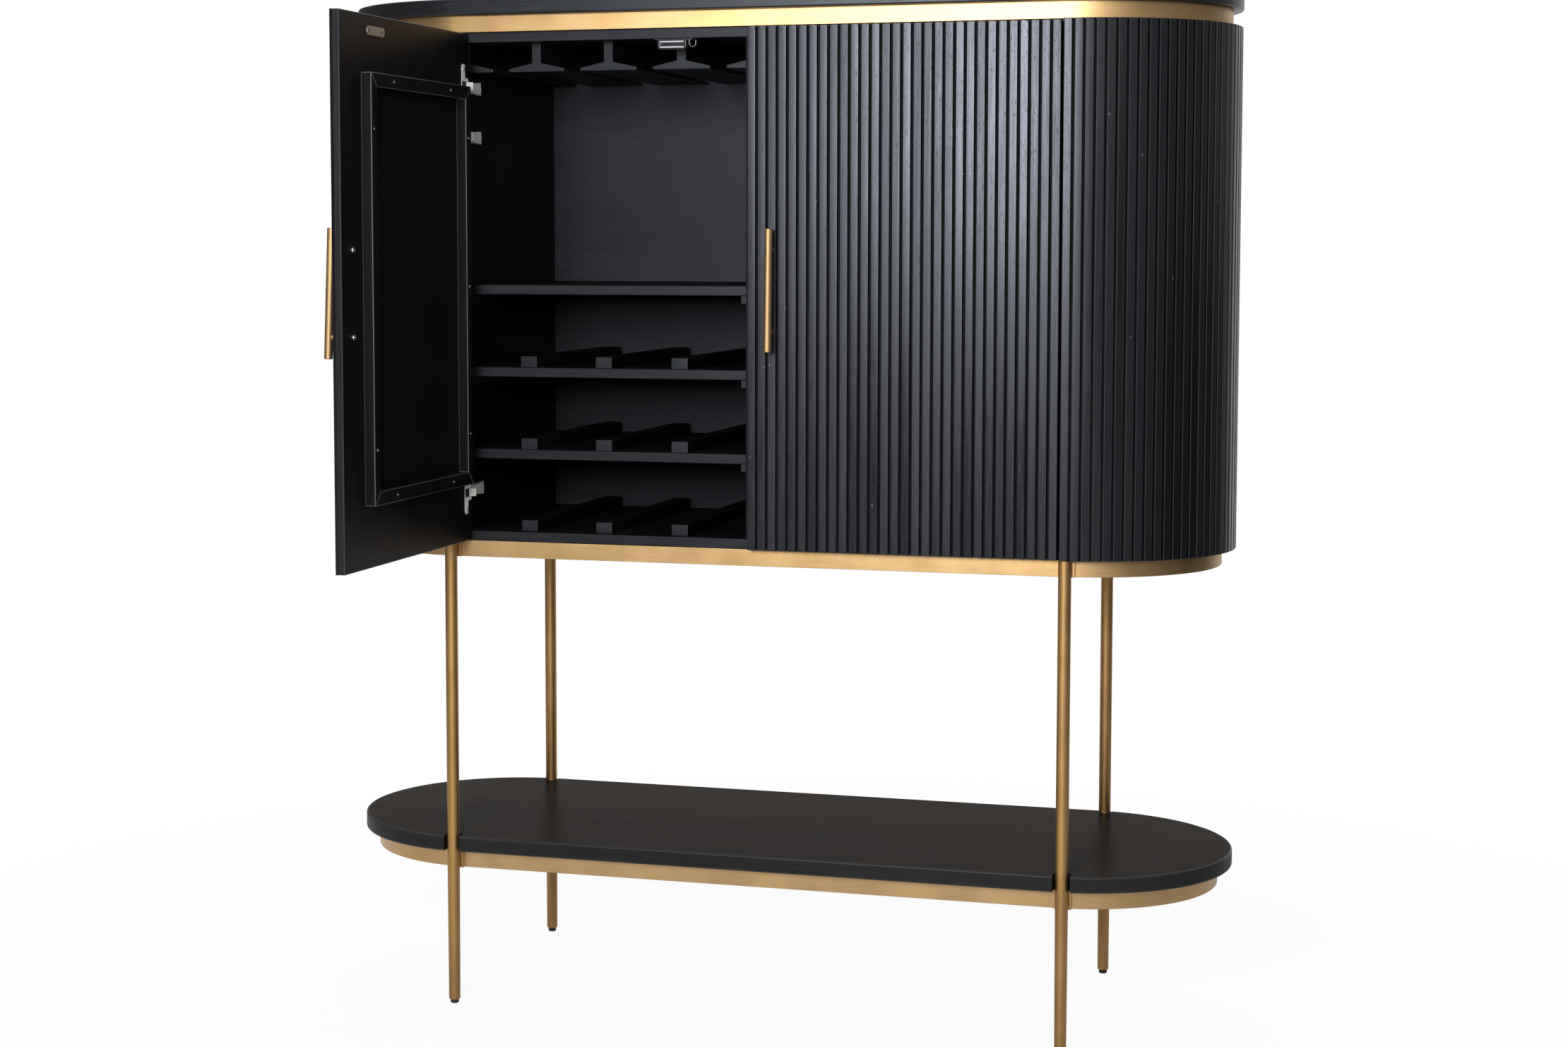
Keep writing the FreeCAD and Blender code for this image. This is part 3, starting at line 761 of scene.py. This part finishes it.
def foot_caps():
    """Plastic feet with a round lower edge."""
    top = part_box("front_right_leg")[0].z
    caps = []
    for low, high in solids("foot_caps"):
        radius = (high.x - low.x) / 2
        cap = disc(radius, ((low.x + high.x) / 2, (low.y + high.y) / 2, low.z), leg_sides)
        extrude((0, 0, top - low.z))
        face_outwards()
        pick("edges", lambda edge: max(vert.co.z for vert in edge.verts) < low.z + tiny)
        bpy.ops.mesh.bevel(offset=cap_round, segments=4, affect="EDGES")
        caps.append(cap)
    caps = joined(caps)
    smooth(caps)
    settle(caps, "foot_caps_moulded", "cabinet", plastic, "foot_caps")


# Carcass


def carcass():
    """Boards, shelves and rails; broad faces have less sheen than the front edges and ends."""
    eased_copy("carcass_top", board_wood, board_round)
    floor_board = eased_copy("carcass_bottom", board_wood, board_round)
    refinish(floor_board, inner_wood, lambda normal, spot: abs(normal.z) > level)
    eased_copy("centre_divider", upright_wood, board_round)
    eased_copy("back_panel", board_wood, thin_board_round)
    for side in ("left", "right"):
        eased_copy(f"{side}_side_panel", upright_wood, board_round)
        for shelf in ("lower_bottle_shelf", "upper_bottle_shelf", "plain_shelf"):
            board = eased_copy(f"{side}_{shelf}", board_wood, thin_board_round)
            refinish(board, inner_wood, lambda normal, spot: abs(normal.z) > level)
        rails = eased_copy(f"{side}_bottle_rails", rail_wood, rail_round)
        refinish(rails, inner_wood, lambda normal, spot: abs(normal.y) < rail_side)
        eased_copy(f"{side}_shelf_cleats", rail_wood, board_round)
        eased_copy(f"{side}_stemware_rails", rail_wood, rail_round)


# Slats


def slat(low, high):
    """A flat strip with its long front edges rounded."""
    piece = block(low, high)
    edit(piece)
    pick("edges", lambda edge: middle(edge).y < low.y + tiny)
    bpy.ops.mesh.bevel(offset=slat_round, segments=2, affect="EDGES")
    face_outwards()
    deselect()
    return piece


def toned(piece, tone):
    """Gives every point of a slat the same tone, from 0 to 1."""
    values = piece.data.attributes.new("tone", "FLOAT", "POINT")
    for value in values.data:
        value.value = tone


def door_slats(draw):
    """Strips of one pitch, each with a tone of its own."""
    places = solids("right_door_slats")
    strip = slat(*places[0])
    slats = []
    for low, high in places:
        piece = copied(strip, Matrix.Translation(low - places[0][0]))
        toned(piece, draw.random())
        slats.append(piece)
    bpy.data.objects.remove(strip)
    on_both_doors(joined(slats), "door_slat_set", slat_wood, "door_slats")


def slat_gap():
    """Gap between two strips of a door."""
    first, second = solids("right_door_slats")[:2]
    return second[0].x - first[1].x


def end_angle(pair):
    """Angle of a strip round the right end, from the front."""
    centre = (pair[0] + pair[1]) / 2
    return math.atan2(centre.x - half_straight, -centre.y)


def on_slat_edge(normal, spot):
    """True for the rounded long edges of a strip on a round end, which take a painted highlight."""
    outwards = Vector((abs(spot.x) - half_straight, spot.y, 0)).normalized()
    facing = Vector((math.copysign(normal.x, normal.x * spot.x), normal.y, 0))
    low, high = slat_edge_shares
    return low < facing.dot(outwards) < high


def end_slats(draw):
    """Flat strips round the right end, turned about its axis."""
    node = "right_end_slats"
    places = solids(node)
    low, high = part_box(node)
    face = high.x - half_straight
    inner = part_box("right_end_panel")[1].x - half_straight
    turns = sorted(end_angle(pair) for pair in places)
    pitch = (turns[-1] - turns[0]) / (len(turns) - 1)
    half = inner * math.tan(pitch / 2) - slat_gap() / 2
    strip = slat(Vector((-half, -face, low.z)), Vector((half, -inner, high.z)))
    slats = []
    for turn in turns:
        place = Matrix.Translation((half_straight, 0, 0)) @ Matrix.Rotation(turn, 4, "Z")
        piece = copied(strip, place)
        toned(piece, draw.random())
        slats.append(piece)
    bpy.data.objects.remove(strip)
    on_both_sides(joined(slats), "end_slat_set", slat_wood, "end_slats")
    # The rounded long edges of the end strips take lighter wood, a painted highlight
    for side in ("left", "right"):
        refinish(bpy.data.objects[f"{side}_end_slat_set"], end_edge_wood, on_slat_edge)


# Doors


def door_panel():
    """A board with a matte front between the slats."""
    piece = block(*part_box("right_door_panel"))
    ease(piece, panel_round, segments=3)
    on_both_doors(piece, "door_board", door_wood, "door_panel")
    for side, straight in door_ways.items():
        board = bpy.data.objects[f"{side}_door_board"]
        refinish(board, groove_wood, lambda normal, spot: (straight @ normal).y < -square)
        refinish(board, edge_wood, lambda normal, spot: abs((straight @ normal).y) < upright)
        # The board's rounded edges take lighter wood, a painted highlight
        refinish(board, end_edge_wood, lambda normal, spot: slants(straight @ normal))


def door_frame():
    """Four mitred bars that keep the door flat."""
    low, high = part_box("right_door_frame")
    bars = []
    for axis, other in ((0, 2), (2, 0)):
        for at_high in (False, True):
            start = low.copy()
            end = high.copy()
            if at_high:
                start[other] = high[other] - frame_bar
            else:
                end[other] = low[other] + frame_bar
            inner = start[other] if at_high else end[other]
            bar = block(start, end)
            edit(bar)
            for edge_place, way in ((low[axis], 1), (high[axis], -1)):
                pick("verts", lambda vert: abs(vert.co[other] - inner) < tiny
                     and abs(vert.co[axis] - edge_place) < tiny)
                shift = Vector()
                shift[axis] = way * frame_bar
                bpy.ops.transform.translate(value=shift)
            deselect()
            ease(bar, panel_round)
            bars.append(bar)
    on_both_doors(joined(bars), "door_frame_bars", door_wood, "door_frame")
    for side, straight in door_ways.items():
        bars = bpy.data.objects[f"{side}_door_frame_bars"]
        # The bars' rounded edges take the lighter wood, a painted highlight
        refinish(bars, worn_wood, lambda normal, spot: slants(straight @ normal))


def frame_screws():
    """Screws along the bars of the frame, and one half-way up the bar by the hinges."""
    low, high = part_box("right_door_frame")
    half = frame_bar / 2
    lines_x = (low.x + half, high.x - half)
    lines_z = (low.z + half, high.z - half)
    inset_x = (low.x + frame_screw_inset, high.x - frame_screw_inset)
    inset_z = (low.z + frame_screw_inset, high.z - frame_screw_inset)
    places = [(x, z) for x in lines_x for z in inset_z]
    places += [(x, z) for z in lines_z for x in inset_x]
    places.append((lines_x[1], (low.z + high.z) / 2))
    points = [Vector((x, high.y, z)) for x, z in places]
    on_both_doors(screws(*frame_screw, faces_back, points), "frame_screws", dark_steel)


def handle_end(height):
    """Middle of the handle bar's end at a height."""
    spots = [vert.co for vert in frame["nodes"]["right_door_handle"].data.vertices]
    near = [spot for spot in spots if abs(spot.z - height) < handle_end_reach]
    low = Vector([min(spot[axis] for spot in near) for axis in range(3)])
    high = Vector([max(spot[axis] for spot in near) for axis in range(3)])
    return (low + high) / 2


def handle():
    """A round bar on two posts, which leans out at its foot."""
    low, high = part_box("right_door_handle")
    foot = handle_end(low.z)
    head = handle_end(high.z)
    lean = (head - foot).to_track_quat("Z", "Y").to_matrix().to_4x4()
    blank = disc(handle_radius, (0, 0, 0), handle_sides)
    extrude((0, 0, (head - foot).length))
    face_outwards()
    pick("edges", lambda edge: not runs_along(edge, 2))
    bpy.ops.mesh.bevel(offset=handle_end_round, segments=3, affect="EDGES")
    bar = copied(blank, Matrix.Translation(foot) @ lean)
    bpy.data.objects.remove(blank)
    for screw_low, screw_high in solids("right_handle_screws"):
        height = (screw_low.z + screw_high.z) / 2
        reach = high.y - foot.lerp(head, (height - foot.z) / (head.z - foot.z)).y
        post = disc(post_radius, (0, 0, 0), post_sides)
        extrude((0, 0, reach))
        face_outwards()
        deselect()
        seated = copied(post, Matrix.Translation((foot.x, high.y, height)) @ faces_front)
        bpy.data.objects.remove(post)
        cut(bar, seated, "UNION")
    on_both_doors(bar, "door_handle_bar", handle_brass, "door_handle")


def handle_screws():
    """Screw heads on the door's inner face, behind the posts."""
    places = solids("right_handle_screws")
    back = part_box("right_door_panel")[1].y
    points = [Vector(((low.x + high.x) / 2, back, (low.z + high.z) / 2)) for low, high in places]
    low, high = places[0]
    radius = (high.x - low.x) / 2
    heads = screws(radius, high.y - back, faces_back, points)
    on_both_doors(heads, "handle_screw_heads", bright_steel, "handle_screws")


# Hinges and catches


def lengthen_arms(arms, rear):
    """Draws the rear of the arms and of their plates further back."""
    edit(arms)
    stretches = (
        (rear - arm_plate_end, rear + arm_plate_end, arm_plate_extra),
        (rear - arm_flare, rear - arm_plate_end, arm_extra),
    )
    for start, end, extra in stretches:
        pick("verts", lambda vert: start < vert.co.y < end)
        bpy.ops.transform.translate(value=(0, extra, 0))
    deselect()


def hinges():
    """Cups on the doors and arms on the side panels, with their screws."""
    for side, straight in door_ways.items():
        cups = eased_copy(f"{side}_hinge_cups", cast_zinc, cup_round, segments=1)
        # The cups' faces turned into the cabinet take the paler zinc: painted light
        refinish(cups, pale_zinc, lambda normal, spot: (straight @ normal).y > level)
        arms = eased_copy(f"{side}_hinge_arms", cast_zinc, arm_round, merge=arm_merge)
        lengthen_arms(arms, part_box(f"{side}_hinge_arms")[1].y)
        # The arms' side faces take the paler zinc: painted light
        refinish(arms, pale_zinc, lambda normal, spot: abs(normal.x) > plate_like)
    cup_points = []
    for low, high in solids("right_hinge_cups"):
        centre = (low + high) / 2
        for lift in (-cup_screw_lift, cup_screw_lift):
            cup_points.append(Vector((low.x + cup_wing / 2, high.y, centre.z + lift)))
    on_both_doors(screws(*cup_screw, faces_back, cup_points), "hinge_cup_screws", nickel)
    arm_points = []
    for low, high in solids("right_hinge_arms"):
        centre = (low.z + high.z) / 2
        face = high.x - arm_plate_thickness
        rear = high.y + arm_plate_extra - plate_screw_inset
        for lift in (-plate_screw_lift, plate_screw_lift):
            arm_points.append(Vector((face, rear, centre + lift)))
    on_both_sides(screws(*plate_screw, faces_left, arm_points), "hinge_plate_screws", bright_steel)


def catches():
    """Magnet housings with two bright pole plates, and a wire hook beside each."""
    for side in ("left", "right"):
        eased_copy(f"{side}_catch", chrome, catch_round)
        eased_copy(f"{side}_strike_plate", dull_nickel, strike_round)
    low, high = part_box("right_catch")
    strike_low, strike_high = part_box("right_strike_plate")
    centre = (strike_low + strike_high) / 2
    poles = []
    for lift in (-pole_lift, pole_lift):
        height = centre.z + lift
        start = (centre.x - pole_half_length, low.y - pole_proud, height - pole_half_height)
        end = (centre.x + pole_half_length, low.y + pole_depth, height + pole_half_height)
        pole = block(start, end)
        ease(pole, pole_round)
        poles.append(pole)
    on_both_sides(joined(poles), "catch_poles", pole_steel)
    seat = strike_high.y - strike_screw_sink
    reaches = (-strike_screw_reach, strike_screw_reach)
    points = [Vector((centre.x + reach, seat, centre.z)) for reach in reaches]
    # Near-black strike screws: painted shade, standing for dark screw holes
    on_both_doors(screws(*strike_screw, faces_back, points), "strike_screws", black_steel)
    hook_wire(Vector((low.x + hook_aside, low.y + hook_back, high.z - hook_down)))


def hook_wire(top):
    """A small bent wire that hangs from the catch's plate."""
    wire_radius = 1.25 * mm
    bend = 5 * mm
    drop = 5.6 * mm
    rise = 0.8 * drop
    bend_steps = 14
    wire = disc(wire_radius, top, wire_sides)
    extrude((0, 0, -drop))
    hub = top + Vector((-bend, 0, -drop))
    bpy.ops.mesh.spin(steps=bend_steps, angle=-math.pi, center=hub, axis=(0, 1, 0))
    extrude((0, 0, rise))
    bpy.ops.mesh.select_all(action="SELECT")
    bpy.ops.mesh.remove_doubles(threshold=tiny)
    face_outwards()
    deselect()
    on_both_sides(wire, "catch_hook", chrome)


# Build every piece

draw = random.Random(11)
top_slab()
lower_shelf()
band("top_band", band_brass)
band("base_band", band_brass)
# The lower band takes the brighter copy of the brass: painted light
band("shelf_band", shelf_brass)
legs()
foot_caps()
carcass()
door_slats(draw)
end_slats(draw)
door_panel()
door_frame()
frame_screws()
handle()
handle_screws()
hinges()
catches()

# Nodes that are shown as they are
plain_nodes = {"leg_pads": band_brass}
for side_name in ("left", "right"):
    plain_nodes[f"{side_name}_end_panel"] = groove_wood
    plain_nodes[f"{side_name}_hinge_pins"] = nickel
for node_name, node_finish in plain_nodes.items():
    shown = frame["nodes"][node_name]
    shown.data.materials.clear()
    shown.data.materials.append(node_finish.material)


# Stage, light and camera

white = (1, 1, 1, 1)
fill_colour = (0.95, 0.97, 1.0, 1)
fill_strength = 0.38
floor_size = 60
floor_grey = (0.9, 0.9, 0.9, 1)
floor_white = 0.93                  # what the camera sees of white near the object
floor_fade = (0.7, 2.2)
floor_sheen = 0.1                   # what shiny surfaces see of white on the dim part of the floor
dim_floor_centre = (0.9, 0.2, 0)
dim_floor_fade = (1.25, 2.6)
matte = {"Roughness": 0.9, "Specular IOR Level": 0.0}


def white_world():
    """An even fill, with a white surround that the camera and shiny surfaces see."""
    world = bpy.data.worlds.new("studio")
    bpy.context.scene.world = world
    world.use_nodes = True
    nodes = world.node_tree.nodes
    links = world.node_tree.links
    nodes.clear()
    paths = nodes.new("ShaderNodeLightPath")
    seen = paths.outputs["Is Camera Ray"]
    for name in ("Is Glossy Ray", "Is Transmission Ray"):
        either = nodes.new("ShaderNodeMath")
        either.operation = "MAXIMUM"
        links.new(seen, either.inputs[0])
        links.new(paths.outputs[name], either.inputs[1])
        seen = either.outputs[0]
    fill = nodes.new("ShaderNodeBackground")
    fill.inputs["Color"].default_value = fill_colour
    fill.inputs["Strength"].default_value = fill_strength
    surround = nodes.new("ShaderNodeBackground")
    surround.inputs["Color"].default_value = white
    surround.inputs["Strength"].default_value = 1.0
    mix = nodes.new("ShaderNodeMixShader")
    out = nodes.new("ShaderNodeOutputWorld")
    links.new(seen, mix.inputs[0])
    links.new(fill.outputs[0], mix.inputs[1])
    links.new(surround.outputs[0], mix.inputs[2])
    links.new(mix.outputs[0], out.inputs[0])


def pale_floor():
    """A white floor that takes the shadow near the object; shiny surfaces see it dim on the right."""
    deselect()
    bpy.ops.mesh.primitive_plane_add(size=floor_size, location=(0, 0, 0))
    floor = bpy.context.object
    floor.name = "floor"
    ground = Finish("floor_white", "", matte)
    ground.shader.inputs["Base Color"].default_value = floor_grey
    place = ground.place()
    reach = ground.node("ShaderNodeVectorMath", {"operation": "LENGTH"}, {0: place}, "Value")
    far = ground.step(reach, *floor_fade)
    spots = {0: place, 1: dim_floor_centre}
    aside = ground.node("ShaderNodeVectorMath", {"operation": "DISTANCE"}, spots, "Value")
    bright = ground.step(aside, *dim_floor_fade)
    paths = ground.tree.nodes.new("ShaderNodeLightPath")
    mirrored = Value(ground, paths.outputs["Is Glossy Ray"])
    mirrored = mirrored.math("MAXIMUM", mirrored, Value(ground, paths.outputs["Is Transmission Ray"]))
    seen = Value(ground, paths.outputs["Is Camera Ray"]) * (floor_white + (1.0 - floor_white) * far)
    seen = seen + mirrored * (floor_sheen + (1.0 - floor_sheen) * bright)
    glow = ground.node("ShaderNodeEmission", {}, {"Color": white, "Strength": 1.0})
    mix = ground.tree.nodes.new("ShaderNodeMixShader")
    ground.feed(mix.inputs[0], seen)
    ground.tree.links.new(ground.shader.outputs[0], mix.inputs[1])
    ground.feed(mix.inputs[2], glow)
    ground.tree.links.new(mix.outputs[0], ground.tree.nodes["Material Output"].inputs["Surface"])
    floor.data.materials.append(ground.material)


def area_light(name, place, aim, width, height, power, colour=(1, 1, 1)):
    """A soft lamp at a place, turned to the point that it aims at."""
    lamp = bpy.data.lights.new(name, "AREA")
    lamp.shape = "RECTANGLE"
    lamp.size = width
    lamp.size_y = height
    lamp.energy = power
    lamp.color = colour
    holder = bpy.data.objects.new(name, lamp)
    holder.location = place
    holder.rotation_euler = (Vector(aim) - Vector(place)).to_track_quat("-Z", "Y").to_euler()
    bpy.context.scene.collection.objects.link(holder)


def card(name, low, high, tone):
    """A dark or grey card beside the set, unseen by the camera, that keeps the sheen to the lamps."""
    sheet = block(low, high)
    sheet.name = name
    cloth = Finish(name, "", matte)
    cloth.shader.inputs["Base Color"].default_value = (tone, tone, tone, 1)
    sheet.data.materials.append(cloth.material)
    sheet.visible_camera = False


white_world()
pale_floor()
area_light("key_softbox", (0.0, -3.5, 1.7), (0.25, -0.2, 1.2), width=1.2, height=1.0, power=114,
           colour=(0.97, 0.98, 1.0))
area_light("right_fill", (2.0, -3.2, 2.1), (0.3, -0.2, 1.4), width=1.6, height=1.2, power=10.5,
           colour=(1.0, 0.97, 0.93))
area_light("back_light", (-0.6, 1.8, 4.2), (0, 0.2, 0.9), width=1.6, height=1.0, power=46)
card("front_card", (-5, -5.6, 0.02), (5, -5.58, 4.5), 0.05)
card("right_low_card", (2.5, -2.8, 0.02), (2.52, 2.5, 1.15), 0.08)
card("right_high_card", (2.5, -2.8, 1.15), (2.52, 2.5, 3.0), 0.42)
card("left_card", (-2.6, -2.6, 0.02), (-2.58, 2.5, 3.0), 0.2)

image_width = 2220
focal_pixels = 3718.94
axis_column = 1035.18               # column of the image that the lens points at
sensor_width = 36
look_down = 4.3953
look_left = 16.0217
view = bpy.data.cameras.new("view")
view.sensor_width = sensor_width
view.lens = focal_pixels / image_width * sensor_width
view.shift_x = (image_width / 2 - axis_column) / image_width
view.shift_y = -0.05
view.clip_end = 200
camera = bpy.data.objects.new("camera", view)
camera.location = (1.0504, -3.9703, 1.1815)
camera.rotation_euler = (math.radians(90 - look_down), 0, math.radians(look_left))
bpy.context.scene.collection.objects.link(camera)
bpy.context.scene.camera = camera
bpy.context.scene.view_settings.view_transform = "Standard"

deselect()
